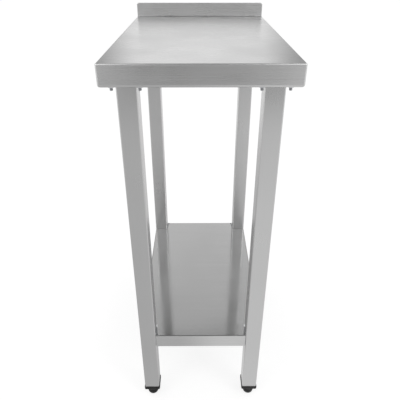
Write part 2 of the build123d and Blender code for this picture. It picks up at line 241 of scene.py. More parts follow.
def hexagon(angle: np.ndarray, flats: float) -> np.ndarray:
    """Distance from the middle of a hexagon to its side in a direction.

    Half the width across the flats, divided by the cosine of the angle to the nearest
    side's normal.

    Args:
        angle: Directions in radians.
        flats: Width across the flats.

    Returns:
        The distances.
    """
    sector = FULL_TURN / 6
    return flats / 2 / np.cos((angle + sector / 2) % sector - sector / 2)


def rounded_square(half: float, corner: float, steps: int) -> tuple[np.ndarray, np.ndarray]:
    """Points round a square with rounded corners, anticlockwise, and their outward normals.

    Each corner is a quarter circle about a centre set back by its radius, and the straight
    sides lie between the corners' ends.

    Args:
        half: Half the square's width.
        corner: Radius of the corners.
        steps: Number of points on each corner.

    Returns:
        Points and normals, both of shape (4 * steps, 2).
    """
    angle = np.linspace(0, FULL_TURN / 4, steps)[None, :] + np.arange(4)[:, None] * FULL_TURN / 4
    normal = np.stack([np.cos(angle), np.sin(angle)], axis=-1)
    quadrant = np.arange(4) * FULL_TURN / 4 + FULL_TURN / 8
    centre = (half - corner) * math.sqrt(2) * np.stack([np.cos(quadrant), np.sin(quadrant)], axis=-1)
    return (centre[:, None, :] + corner * normal).reshape(-1, 2), normal.reshape(-1, 2)


# ------------ finishes
class Shading:
    """One material's node tree, with short calls that add linked nodes."""

    def __init__(self, name: str) -> None:
        """Start a material with its Principled shader.

        Args:
            name: The material's name.
        """
        self.material = bpy.data.materials.new(name)
        self.material.use_nodes = True
        self.tree = self.material.node_tree
        self.shader = self.tree.nodes["Principled BSDF"]

    def node(self, kind: str, inputs: dict[int | str, Value] | None = None,
             **settings: str) -> bpy.types.Node:
        """Add a node.

        Args:
            kind: The node's type, without its leading ShaderNode.
            inputs: Value or incoming socket for each input, by its name or number.
            **settings: The node's own settings.

        Returns:
            The node.
        """
        added = self.tree.nodes.new("ShaderNode" + kind)
        for key, value in settings.items():
            setattr(added, key, value)
        self.fill(added, inputs or {})
        return added

    def fill(self, node: bpy.types.Node, inputs: dict[int | str, Value]) -> None:
        """Link inputs of a node to incoming sockets, or set their own values.

        Args:
            node: The node.
            inputs: Value or incoming socket for each input, by its name or number.
        """
        for key, value in inputs.items():
            if isinstance(value, Socket):
                self.tree.links.new(value, node.inputs[key])
            else:
                node.inputs[key].default_value = value

    def sums(self, operation: str, *values: Number) -> Socket:
        """Work out a number from sockets or numbers.

        Args:
            operation: The Math node's operation.
            *values: Its inputs in order.

        Returns:
            The resulting socket.
        """
        return self.node("Math", dict(enumerate(values)), operation=operation).outputs[0]

    def pattern(self, scale: Triple, detail: float) -> Socket:
        """Add a noise in object coordinates, between about 0 and 1.

        Args:
            scale: Cycles per metre along X, Y and Z.
            detail: Number of finer octaves.

        Returns:
            The noise's value.
        """
        place = self.node("TexCoord").outputs["Object"]
        mapped = self.node("Mapping", {"Vector": place, "Scale": scale})
        noise = self.node("TexNoise", {"Vector": mapped.outputs[0], "Scale": 1.0, "Detail": detail})
        return noise.outputs[0]

    def parts(self, coordinates: str) -> bpy.types.NodeOutputs:
        """Split a kind of texture coordinates into X, Y and Z."""
        return self.node("SeparateXYZ", {0: self.node("TexCoord").outputs[coordinates]}).outputs

    def cells(self, per_metre: float) -> Socket:
        """Give each cell of a cellular pattern its own value, 0 to 1.

        Args:
            per_metre: Number of cells per metre.

        Returns:
            The cells' values.
        """
        place = self.node("TexCoord").outputs["Object"]
        found = self.node("TexVoronoi", {"Vector": place, "Scale": per_metre}, feature="F1")
        return self.node("SeparateColor", {0: found.outputs["Color"]}).outputs[0]

    def between(self, value: Socket, low: float, high: float) -> Socket:
        """Spread a noise's middle range, 0.3 to 0.7, over low to high."""
        return self.ease(value, 0.3, 0.7, low, high, "LINEAR")

    def dye(self, factor: Number, low: Value, high: Value) -> Socket:
        """Mix two colours by a factor."""
        return self.node("Mix", {6: low, 7: high, 0: factor}, data_type="RGBA").outputs[2]

    def grey(self, value: Number, tint: Triple) -> Socket:
        """Turn a brightness into a colour of a tint."""
        return self.dye(value, (0, 0, 0, 1), (*tint, 1))

    def curve(self, value: Socket, stops: dict[float, float], span: float) -> Socket:
        """Follow a curve that eases from each stop to the next.

        Args:
            value: Place along the curve, 0 to 1.
            stops: The curve's height at each place, with the places from 0 to the span.
            span: The last place.

        Returns:
            The height at the value.
        """
        peak = max(stops.values())
        ramp = self.node("ValToRGB", {0: value})
        ramp.color_ramp.interpolation = "EASE"
        elements = ramp.color_ramp.elements
        elements.remove(elements[1])
        for number, (place, height) in enumerate(sorted(stops.items())):
            element = elements.new(place / span) if number else elements[0]
            element.position = place / span
            element.color = (*[height / peak] * 3, 1.0)
        return self.sums("MULTIPLY", ramp.outputs["Color"], peak)

    def ease(self, value: Socket, start: float, end: float, low: float = 0.0,
             high: float = 1.0, way: str = "SMOOTHSTEP") -> Socket:
        """Ease from low to high as a value goes from start to end, and stay there beyond."""
        inputs = {"Value": value, "From Min": start, "From Max": end, "To Min": low, "To Max": high}
        return self.node("MapRange", inputs, interpolation_type=way).outputs[0]

    def blend(self, factor: Number, low: Number, high: Number) -> Socket:
        """Mix two numbers by a factor."""
        return self.node("Mix", {0: factor, 2: low, 3: high}).outputs[0]

    def rays(self) -> tuple[Socket, Socket]:
        """Tell apart the rays that reach the studio.

        Returns:
            1 for a ray from the camera or through something clear, and 1 for a mirrored ray.
        """
        path = self.node("LightPath").outputs
        plain = self.sums("MAXIMUM", path["Is Camera Ray"], path["Is Transmission Ray"])
        return plain, path["Is Glossy Ray"]

    def raise_by(self, height: Socket, distance: float) -> None:
        """Add relief to the shader's normal, over any relief that it has.

        Args:
            height: The relief's pattern.
            distance: Height in metres of a pattern value of 1.
        """
        bump = self.node("Bump", {"Height": height, "Distance": distance, "Strength": 1.0})
        earlier = self.shader.inputs["Normal"].links
        if earlier:
            self.fill(bump, {"Normal": earlier[0].from_socket})
        self.fill(self.shader, {"Normal": bump.outputs[0]})


class RoomShading(Shading):
    """The world's node tree, with the same short calls."""

    def __init__(self, name: str) -> None:
        """Start a world.

        Args:
            name: The world's name.
        """
        world = bpy.data.worlds.new(name)
        world.use_nodes = True
        bpy.context.scene.world = world
        self.tree = world.node_tree
        self.shader = self.tree.nodes["Background"]


@dataclass(frozen=True)
class BrushedSteel:
    """Brushed stainless steel: fine lines one way, and a reflection drawn out across them.

    Attributes:
        name: The material's name.
        grain: The way that the brushing runs.
        shade: Reflectance of the bare metal.
        roughness: Middle roughness of the finish.
        stretch: How far the reflection is drawn out across the lines, 0 to 1.
        waviness: Height in metres of the sheet's slow waves.
        streaks: Strength of the broad streaks between the fine lines.
        lines: Strength of the fine lines.
        cloud: Strength of the broad clouds.
        wear: How far the roughness wanders from place to place.
        relief: Height in metres of fine lines of strength 1.
        scales: Cycles per metre along the lines, across the fine ones, and across the streaks.
        steep: Where the normal's X is beyond this, the face hangs down a side.
    """

    name: str
    grain: Grain
    shade: float = 0.60
    roughness: float = 0.28
    stretch: float = 0.7
    waviness: float = 0.0002
    streaks: float = 0.015
    lines: float = 0.02
    cloud: float = 0.03
    wear: float = 0.03
    relief: float = 7e-5
    scales: Triple = (5.0, 1300.0, 260.0)
    steep: float = 0.7

    def build(self) -> Material:
        """Make the material.

        Returns:
            The material.
        """
        tones = Shading(self.name)
        part = tones.parts("Normal")
        along, fine, broad = self.scales
        cloud_scale, wear_scale, wave_scale = (7, 4, 7), (9, 9, 9), (5, 4, 5)
        trace = 0.001  # settles the way of a face that looks straight out, up or down
        if self.grain is Grain.ACROSS:
            # the lines run along X, and down along Z where the sheet is folded over its sides
            side = tones.sums("GREATER_THAN", tones.sums("ABSOLUTE", part[0]), self.steep)
            lines, bands = (
                tones.blend(side, tones.pattern((along, close, close), 3.0),
                            tones.pattern((close, close, along), 3.0))
                for close in (fine, broad)
            )
            # across them, square to the normal (x, y, z): 0, the length of (x, z), and -y (y
            # where the face looks down)
            facing_up = tones.sums("GREATER_THAN", part[2], -trace)
            sign = tones.sums("MULTIPLY_ADD", facing_up, -2.0, 1.0)
            upright = tones.node("CombineXYZ", {0: part[0], 2: part[2]}).outputs[0]
            length = tones.node("VectorMath", {0: upright}, operation="LENGTH").outputs["Value"]
            drop = tones.sums("MULTIPLY", part[1], sign)
            across = tones.node("CombineXYZ", {0: 0.0, 1: length, 2: drop}).outputs[0]
        else:
            lines = tones.pattern((fine, fine, along), 3.0)
            bands = tones.pattern((broad, broad, along), 3.0)
            # the normal turned a quarter about Z, with a trace of Y for faces that look up or down
            turned_x = tones.sums("ADD", tones.sums("MULTIPLY", part[0], -1.0), trace)
            across = tones.node("CombineXYZ", {0: part[1], 1: turned_x, 2: 0.0}).outputs[0]
        world_way = tones.node("VectorTransform", {0: across}, vector_type="VECTOR",
                               convert_from="OBJECT", convert_to="WORLD").outputs[0]
        light = tones.sums("ADD", tones.between(lines, -self.lines, self.lines),
                           tones.between(bands, -self.streaks, self.streaks))
        clouds = tones.pattern(cloud_scale, 1.0)
        light = tones.sums("ADD", light, tones.between(clouds, -self.cloud, self.cloud))
        tone = tones.sums("MULTIPLY_ADD", light, self.shade, self.shade)
        worn = tones.sums("ADD", tones.between(lines, -1.5 * self.lines, 1.5 * self.lines),
                          tones.between(tones.pattern(wear_scale, 2.0), -self.wear, self.wear))
        tones.fill(tones.shader, {
            "Tangent": world_way,
            "Base Color": tones.grey(tone, WHITE),
            "Roughness": tones.sums("ADD", worn, self.roughness),
            "Metallic": 1.0,
            "Anisotropic": self.stretch,
        })
        tones.raise_by(tones.pattern(wave_scale, 0.0), self.waviness)
        tones.raise_by(lines, self.relief * self.lines)
        return tones.material


@dataclass(frozen=True)
class GalvanisedSteel:
    """Hot-dip galvanised sheet: dull zinc with flat crystals of slightly different tones.

    Attributes:
        name: The material's name.
        crystals: Number of crystals per metre.
        shade: Reflectance of the darkest crystal, and how much lighter the lightest is.
        roughness: Roughness of the smoothest crystal, and how much rougher the roughest is.
        relief: Height in metres of the grain.
    """

    name: str
    crystals: float = 90.0
    shade: Pair = (0.42, 0.16)
    roughness: Pair = (0.38, 0.18)
    relief: float = 2e-5

    def build(self) -> Material:
        """Make the material.

        Returns:
            The material.
        """
        tones = Shading(self.name)
        spark = tones.cells(self.crystals)
        tone, rough = (tones.sums("MULTIPLY_ADD", spark, more, least)
                       for least, more in (self.shade, self.roughness))
        tones.fill(tones.shader, {"Base Color": tones.grey(tone, (0.98, 1.0, 1.02)),
                                  "Roughness": rough, "Metallic": 1.0})
        tones.raise_by(tones.pattern((260, 260, 260), 3.0), self.relief)
        return tones.material


@dataclass(frozen=True)
class CloudedFinish:
    """A plain finish in clouds of two near tones: plating, weld metal or moulded plastic.

    Attributes:
        name: The material's name.
        colours: Its darkest and lightest colours.
        roughness: Least and greatest roughness.
        relief: Height in metres of the grain.
        grain: Cycles per metre of the grain, which the roughness follows.
        clouds: Cycles per metre of the clouds.
        detail: Number of finer octaves in both.
        metallic: 1 for a metal, 0 for a plastic.
        gloss: Strength of a plastic's reflection.
    """

    name: str
    colours: tuple[Colour, Colour]
    roughness: Pair
    relief: float
    grain: float
    clouds: float
    detail: float = 3.0
    metallic: float = 1.0
    gloss: float = 0.5

    def build(self) -> Material:
        """Make the material.

        Returns:
            The material.
        """
        tones = Shading(self.name)
        grain, cloud = (tones.pattern((scale, scale, scale), self.detail)
                        for scale in (self.grain, self.clouds))
        tones.fill(tones.shader, {
            "Base Color": tones.dye(tones.between(cloud, 0.0, 1.0), *self.colours),
            "Roughness": tones.between(grain, *self.roughness),
            "Metallic": self.metallic,
            "Specular IOR Level": self.gloss,
        })
        tones.raise_by(grain, self.relief)
        return tones.material


@dataclass(frozen=True)
class LaminatedBoard:
    """Chipboard faced with pale grey melamine on its large faces.

    Attributes:
        name: The material's name.
        chips: Number of chips per metre.
        wood: Colours of the darkest and the lightest chip.
        melamine: Least and greatest reflectance of the facing.
        roughness: Roughness of the edges, and of the facing.
        relief: Height in metres of the chips.
    """

    name: str
    chips: float = 420.0
    wood: tuple[Colour, Colour] = ((0.30, 0.19, 0.10, 1), (0.62, 0.46, 0.29, 1))
    melamine: Pair = (0.60, 0.66)
    roughness: Pair = (0.8, 0.45)
    relief: float = 6e-5

    def build(self) -> Material:
        """Make the material: the chips show on the upright edges only.

        Returns:
            The material.
        """
        tones = Shading(self.name)
        up = tones.sums("ABSOLUTE", tones.parts("Normal")[2])
        face = tones.sums("GREATER_THAN", up, 0.5)
        chip = tones.cells(self.chips)
        speck = tones.between(tones.pattern((900, 900, 900), 2.0), *self.melamine)
        facing = tones.grey(speck, (0.99, 1.0, 0.98))
        tones.fill(tones.shader, {"Base Color": tones.dye(face, tones.dye(chip, *self.wood), facing),
                                  "Roughness": tones.blend(face, *self.roughness)})
        tones.raise_by(chip, self.relief)
        return tones.material


@dataclass
class Finishes:
    """Every material of the table, made once."""

    worktop: Material = field(default_factory=BrushedSteel(
        "worktop_brushed_steel", Grain.ACROSS, shade=0.62, roughness=0.29, stretch=0.45,
        waviness=0.00012).build)
    shelf: Material = field(default_factory=BrushedSteel(
        "shelf_brushed_steel", Grain.ACROSS, roughness=0.15, stretch=0.8, waviness=0.0006).build)
    leg: Material = field(default_factory=BrushedSteel(
        "leg_brushed_steel", Grain.UPRIGHT, roughness=0.30, stretch=0.4, waviness=0.0,
        streaks=0.004, lines=0.006, cloud=0.01).build)
    galvanised: Material = field(default_factory=GalvanisedSteel("channel_galvanised_steel").build)
    zinc: Material = field(default_factory=CloudedFinish(
        "zinc_plated_fastener", roughness=(0.24, 0.38), relief=1e-5, grain=320, clouds=320,
        colours=((0.49896, 0.504, 0.51912, 1), (0.598752, 0.6048, 0.622944, 1))).build)
    plastic: Material = field(default_factory=CloudedFinish(
        "black_moulded_nylon", roughness=(0.36, 0.5), relief=4e-5, grain=1600, clouds=60,
        colours=((0.0072, 0.0072, 0.0072, 1), (0.0117, 0.0117, 0.0117, 1)), detail=2.0,
        metallic=0.0, gloss=0.3).build)
    board: Material = field(default_factory=LaminatedBoard("melamine_faced_chipboard").build)
    weld: Material = field(default_factory=CloudedFinish(
        "brushed_weld", roughness=(0.3, 0.5), relief=3e-5, grain=240, clouds=240,
        colours=((0.46, 0.44, 0.42, 1), (0.60, 0.58, 0.55, 1))).build)


def dress(material: Material, *names: str) -> None:
    """Give CAD nodes a material in place of their plain one.

    Args:
        material: The material.
        *names: Names of the nodes.
    """
    for name in names:
        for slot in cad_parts[name].material_slots:
            slot.material = material
        log.info("%s: %s", name, material.name)


# ------------ fasteners
def threaded_rod(radius: float, pitch: float, length: float, steps: int = 20) -> Surface:
    """Make a screw thread along Z, from 0 to its length.

    The radius falls from the crest by the thread's depth times a triangle wave of height
    over pitch less the angle's share of a turn. Near an end it can't pass the root's radius
    plus the distance to that end, which is the chamfer, and the axis closes both ends.

    Args:
        radius: Radius of the crests.
        pitch: Rise of the thread in one turn.
        length: Length of the rod.
        steps: Number of angles round it.

    Returns:
        The surface.
    """
    depth = THREAD_DEPTH * pitch
    height = np.linspace(0, length, int(6 * length / pitch) + 1)
    angle = round_angles(steps)
    wave = np.abs(2 * ((height / pitch - angle / FULL_TURN) % 1) - 1)
    chamfer = radius - depth + np.minimum(height, length - height)
    ridge = np.minimum(radius - depth * wave, chamfer)
    shut = np.zeros((steps, 1))
    return turned(np.hstack([shut, ridge, shut]), np.concatenate([[0], height, [length]]), steps)


def hexagon_block(flats: float, height: float, bore: float = 0.0, both: bool = True,
                  steps: int = 72) -> Surface:
    """Make a nut, or a bolt's head, along Z from 0 to its height.

    Its outside is the smaller of a hexagon and the cones that chamfer its ends.

    Args:
        flats: Width across the flats.
        height: Its height.
        bore: Radius of its hole, or 0 for none.
        both: Chamfer both ends, or only the upper one.
        steps: Number of angles round it.

    Returns:
        The surface.
    """
    widest, rim, slope = flats / math.sqrt(3), 0.475 * flats, math.radians(30)
    chamfer = (widest - rim) * math.tan(slope)
    rise = np.linspace(0, 1, 4)
    lower = rim + (widest - rim) * rise if both else np.full(4, widest)
    cone = np.concatenate([[bore], lower, rim + (widest - rim) * rise[::-1], [bore]])
    levels = np.concatenate([[0], chamfer * rise, height - chamfer * rise[::-1], [height]])
    angle = round_angles(steps)
    return turned(np.minimum(hexagon(angle, flats), cone), levels, steps, closed=bore > 0)


def domed_head(radius: float, height: float, recess: Recess, width: float) -> Surface:
    """Make a low domed screw head along Z, with a recess in its top.

    Its height over a point is that of an ellipsoid on a short straight rim, less the recess's
    depth inside the recess's outline, with a slope a twentieth of the radius wide.

    Args:
        radius: Radius of the head.
        height: Height of the head.
        recess: Outline of the recess.
        width: Width of a hexagon across its flats, or length of a cross.

    Returns:
        The surface.
    """
    steps, crowding = 60, 0.8  # the rings lie a little closer together near the edge
    rim, slope, depth, arm = 0.2 * height, 0.05 * radius, 0.55 * height, width / 7
    angle = round_angles(steps)
    ring = np.linspace(1, 0, 26)[None, :] ** crowding * radius
    dome = rim + (height - rim) * np.sqrt(np.clip(1 - (ring / radius) ** 2, 0, 1))
    if recess is Recess.HEXAGON:
        inside = hexagon(angle, width) - ring
    else:
        x, y = np.abs(ring * np.cos(angle)), np.abs(ring * np.sin(angle))
        inside = np.maximum(np.minimum(arm - x, width / 2 - y), np.minimum(arm - y, width / 2 - x))
    sunk = dome - depth * np.clip(inside / slope, 0, 1)
    seat = np.zeros((steps, 1))
    radii = np.hstack([seat, seat + radius, np.broadcast_to(ring, sunk.shape)])
    return turned(radii, np.hstack([seat, seat, sunk]), steps)


@dataclass
class PlateFasteners:
    """Bolts and nuts that hold the leg plates to the cross channels.

    Attributes:
        spacing: Distance between the bolts of a plate, both ways.
        diameter: Diameter of the thread.
        pitch: Rise of the thread in one turn.
        flats: Width of heads and nuts across their flats.
        head: Height of the heads.
        nut: Height of the nuts.
        washer: Thickness of the washers.
        bite: How far the nuts' threads reach into the bolts'.
    """

    spacing: float = 50 * MM
    diameter: float = 6 * MM
    pitch: float = 1 * MM
    flats: float = 10 * MM
    head: float = 4 * MM
    nut: float = 5 * MM
    washer: float = 1.2 * MM
    bite: float = 0.2 * MM

    def build(self, finish: Material) -> None:
        """Make all bolts as one piece and all nuts as another.

        Args:
            finish: Their material.
        """
        tip, top = (corner.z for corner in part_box("plate_bolts"))
        shank = top - self.head - tip
        rod = threaded_rod(self.diameter / 2, self.pitch, shank)
        head = hexagon_block(self.flats, self.head, both=False).placed(Matrix.Translation((0, 0, shank)))
        bolt = Surface.joined([rod, head])
        nut = hexagon_block(self.flats, self.nut, bore=self.diameter / 2 - self.bite)
        bolts, nuts = [], []
        for corner in Corner:
            low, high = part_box(f"leg_plate_{corner.value}")
            middle = (low + high) / 2
            for dx, dy in ((-1, -1), (1, -1), (1, 1), (-1, 1)):
                place = Vector((middle.x + dx * self.spacing / 2, middle.y + dy * self.spacing / 2, tip))
                bolts.append(bolt.placed(Matrix.Translation(place)))
                place.z = low.z - self.washer - self.nut
                nuts.append(nut.placed(Matrix.Translation(place)))
        thing = Surface.joined(bolts).piece("plate_bolt_set", finish, "zinc_fastener", "table")
        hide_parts("plate_bolts")
        thing = Surface.joined(nuts).piece("plate_nut_set", finish, "zinc_fastener", "table")
        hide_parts("plate_nuts")


@dataclass
class ChannelScrews:
    """Pan-head screws that hold the channels to the board.

    Attributes:
        radius: Radius of the heads.
        height: Height of the heads.
        shank: Radius of the thread.
        pitch: Rise of the thread in one turn.
        cross: Length of the cross recess.
        cross_spacing: Distance between the four screws of a cross channel's flange.
        centre_spacing: Distance between the three screws of the centre channel's flange.
        flange: Width of the flanges.
    """

    radius: float = 4 * MM
    height: float = 2.2 * MM
    shank: float = 2.1 * MM
    pitch: float = 1.4 * MM
    cross: float = 4.8 * MM
    cross_spacing: float = 98 * MM
    centre_spacing: float = 130 * MM
    flange: float = 12 * MM

    def build(self, finish: Material) -> None:
        """Make all screws as one piece, heads down.

        Args:
            finish: Their material.
        """
        low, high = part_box("channel_screws")
        seat = low.z + self.height
        rod = threaded_rod(self.shank, self.pitch, high.z - seat)
        head = domed_head(self.radius, self.height, Recess.CROSS, self.cross)
        screw = Surface.joined([rod, head.placed(Matrix.Rotation(math.pi, 4, "X"))])
        places = []
        for node in ("front_top_channel", "rear_top_channel"):
            near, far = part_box(node)
            for y in (near.y + self.flange / 2, far.y - self.flange / 2):
                places += [(self.cross_spacing * (i - 1.5), y, seat) for i in range(4)]
        near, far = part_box("centre_top_channel")
        middle = (near.y + far.y) / 2
        for x in (near.x + self.flange / 2, far.x - self.flange / 2):
            places += [(x, middle + self.centre_spacing * (i - 1), seat) for i in range(3)]
        screws = [screw.placed(Matrix.Translation(place)) for place in places]
        thing = Surface.joined(screws).piece("channel_screw_set", finish, "zinc_fastener", "table")
        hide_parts("channel_screws")


@dataclass
class ShelfBolts:
    """Button-head bolts that hold the shelf's brackets to the legs.

    Attributes:
        radius: Radius of the heads.
        height: Height of the heads.
        diameter: Diameter of the thread.
        pitch: Rise of the thread in one turn.
        socket: Width of the hexagon socket.
        bracket: Thickness of the brackets.
    """

    radius: float = 7 * MM
    height: float = 4.4 * MM
    diameter: float = 8 * MM
    pitch: float = 1.25 * MM
    socket: float = 5 * MM
    bracket: float = 2.5 * MM

    def build(self, finish: Material) -> None:
        """Make the four bolts as one piece, each head towards the middle of the table.

        Args:
            finish: Their material.
        """
        low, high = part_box("shelf_bolts")
        level = (low.z + high.z) / 2
        bolts = []
        for corner in Corner:
            near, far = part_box(f"shelf_bracket_{corner.value}")
            side = math.copysign(1.0, near.x)
            seat = max(abs(near.x), abs(far.x)) - self.bracket
            rod = threaded_rod(self.diameter / 2, self.pitch, max(abs(low.x), abs(high.x)) - seat)
            head = domed_head(self.radius, self.height, Recess.HEXAGON, self.socket)
            bolt = Surface.joined([rod, head.placed(Matrix.Rotation(math.pi, 4, "X"))])
            turn = Matrix.Rotation(side * math.pi / 2, 4, "Y")
            place = Matrix.Translation((side * seat, (near.y + far.y) / 2, level))
            bolts.append(bolt.placed(place @ turn))
        thing = Surface.joined(bolts).piece("shelf_bolt_set", finish, "zinc_fastener", "table")
        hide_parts("shelf_bolts")


# ------------ levelling feet
@dataclass
class LevellingFoot:
    """One round foot and its threaded stud.

    Attributes:
        corner: The corner that it stands at.
        edge: Radius of the foot's lower edge.
        top_edge: Radius of its upper edge.
        stud_radius: Radius of the stud's crests.
        pitch: Rise of the stud's thread in one turn.
        collar: Width of the sunk ring round the stud.
        sink: Depth of that ring.
        play: Gap between the stud and its pocket.
        groove: Width and depth of the parting groove.
        groove_level: Height of its lower side, as a share of the foot's.
    """

    corner: Corner
    edge: float = 8 * MM
    top_edge: float = 1.2 * MM
    stud_radius: float = 5 * MM
    pitch: float = 1.5 * MM
    collar: float = 3 * MM
    sink: float = 1.2 * MM
    play: float = 0.05 * MM
    groove: Pair = (0.2 * math.pi * MM, 0.24 * MM)
    groove_level: float = 0.62

    def build(self, plastic: Material, zinc: Material) -> None:
        """Make the foot and its stud.

        Args:
            plastic: Material of the foot.
            zinc: Material of the stud.
        """
        name = self.corner.value
        low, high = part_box(f"foot_base_{name}")
        middle = (low + high) / 2
        place = Matrix.Translation((middle.x, middle.y, low.z))
        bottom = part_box(f"foot_stud_{name}")[0].z - low.z
        foot = self.foot_shape((high.x - low.x) / 2, high.z - low.z, bottom).placed(place)
        thing = foot.piece(f"foot_{name}", plastic, "foot_plastic", f"foot_{name}")
        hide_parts(f"foot_base_{name}")
        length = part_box(f"foot_stud_{name}")[1].z - low.z - bottom
        stud = threaded_rod(self.stud_radius, self.pitch, length, steps=32)
        lift = Matrix.Translation((middle.x, middle.y, low.z + bottom))
        thing = stud.placed(lift).piece(f"stud_{name}", zinc, "zinc_fastener", f"foot_{name}")
        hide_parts(f"foot_stud_{name}")

    def foot_shape(self, radius: float, height: float, pocket: float) -> Surface:
        """Turn the foot's profile.

        It runs from the middle of the flat bottom out round the large lower edge, up the side
        past a shallow parting groove, over the upper edge, down into the sunk ring, and down
        the stud's pocket to the axis.

        Args:
            radius: Radius of the foot.
            height: Height of the foot.
            pocket: Height of the bottom of the stud's pocket.

        Returns:
            The surface.
        """
        low_arc = np.linspace(-math.pi / 2, 0, 14)
        top_arc = np.linspace(0, math.pi / 2, 6)
        groove = np.linspace(0, FULL_TURN, 7)
        width, depth = self.groove
        groove_radius = radius - depth / 2 * (1 - np.cos(groove))
        ring, bore = self.stud_radius + self.collar, self.stud_radius + self.play
        sunk = height - self.sink
        radii = np.concatenate([
            [0], radius - self.edge + self.edge * np.cos(low_arc),
            groove_radius,
            radius - self.top_edge + self.top_edge * np.cos(top_arc), [ring, ring, bore, bore, 0],
        ])
        levels = np.concatenate([
            [0], self.edge + self.edge * np.sin(low_arc),
            self.groove_level * height + width * groove / FULL_TURN,
            height - self.top_edge + self.top_edge * np.sin(top_arc),
            [height, sunk, sunk, pocket, pocket],
        ])
        return turned(radii, levels, steps=64)


# ------------ welds
@dataclass
class Welds:
    """Welds that join the legs to their plates, and the stiffener to the shelf.

    Attributes:
        size: Leg length of the bead's section.
        ripple: Length of one ripple of the bead.
        corner: Outer corner radius of the legs.
        spot: Radius of a spot weld.
        spots: Number of spot welds on each flange of the stiffener.
        spot_rise: Height of a spot over the sheet.
        root: How far a spot reaches into the sheet.
        sheet: Thickness of the stiffener.
        flange: Width of its flanges.
        margin: Distance of the first and last spots from its ends.
        swell: How much the bead's radius swells with each ripple, as a share of it.
    """

    size: float = 2.4 * MM
    ripple: float = 1.6 * MM
    corner: float = 2.5 * MM
    spot: float = 2.6 * MM
    spots: int = 6
    spot_rise: float = 0.3 * MM
    root: float = 0.1 * MM
    sheet: float = 1.5 * MM
    flange: float = 12 * MM
    margin: float = 30 * MM
    swell: float = 0.1

    def build(self, finish: Material) -> None:
        """Make a bead under each leg plate, and the rows of spot welds.

        Args:
            finish: Their material.
        """
        for corner in Corner:
            low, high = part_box(f"leg_{corner.value}")
            middle = (low + high) / 2
            bead = self.bead_shape((high.x - low.x) / 2)
            placed = bead.placed(Matrix.Translation((middle.x, middle.y, high.z)))
            placed.piece(f"plate_weld_{corner.value}", finish, "leg_steel", "table")
        low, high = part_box("shelf_stiffener")
        dome = self.spot * np.cos(np.linspace(0, math.pi / 2, 6))
        rise = self.spot_rise * np.sin(np.linspace(0, math.pi / 2, 6))
        button = turned(np.concatenate([[0], dome]), np.concatenate([[-self.root], rise]), steps=20)
        down = Matrix.Rotation(math.pi, 4, "X")
        flange_level = high.z - self.sheet
        along = np.linspace(low.y + self.margin, high.y - self.margin, self.spots)
        spots = [
            button.placed(Matrix.Translation((x, y, flange_level)) @ down)
            for x in (low.x + self.flange / 2, high.x - self.flange / 2)
            for y in along
        ]
        Surface.joined(spots).piece("stiffener_spot_welds", finish, "channel_galvanised", "table")

    def bead_shape(self, half: float) -> Surface:
        """Carry the bead's section round the tube.

        The section is a quarter circle from the tube up to the plate, closed by a point inside
        the corner between them. Its radius swells by a tenth with each ripple, as a rectified
        sine of the way gone round.

        Args:
            half: Half the width of the tube.

        Returns:
            The surface, with the plate at Z = 0 and the tube below it.
        """
        corners, normals = rounded_square(half, self.corner, 5)
        corners, normals = np.vstack([corners, corners[:1]]), np.vstack([normals, normals[:1]])
        way = np.concatenate([[0], np.cumsum(np.linalg.norm(np.diff(corners, axis=0), axis=1))])
        stops = np.linspace(0, way[-1], int(way[-1] / self.ripple * 4), endpoint=False)
        path = np.stack([np.interp(stops, way, corners[:, i]) for i in (0, 1)], axis=-1)
        normal = np.stack([np.interp(stops, way, normals[:, i]) for i in (0, 1)], axis=-1)
        wave = np.abs(np.sin(math.pi * stops / self.ripple))
        swell = self.size * (1 + self.swell * (wave - 0.5))
        turn, tuck = np.linspace(math.pi / 2, 0, 7), [-0.1]
        out, drop = np.concatenate([np.cos(turn), tuck]), np.concatenate([np.sin(turn), tuck])
        flat = path[:, None, :] + normal[:, None, :] * (swell[:, None] * out)[..., None]
        points = np.concatenate([flat, -(swell[:, None] * drop)[..., None]], axis=-1)
        return Surface.grid(points, close_u=True, close_v=True)


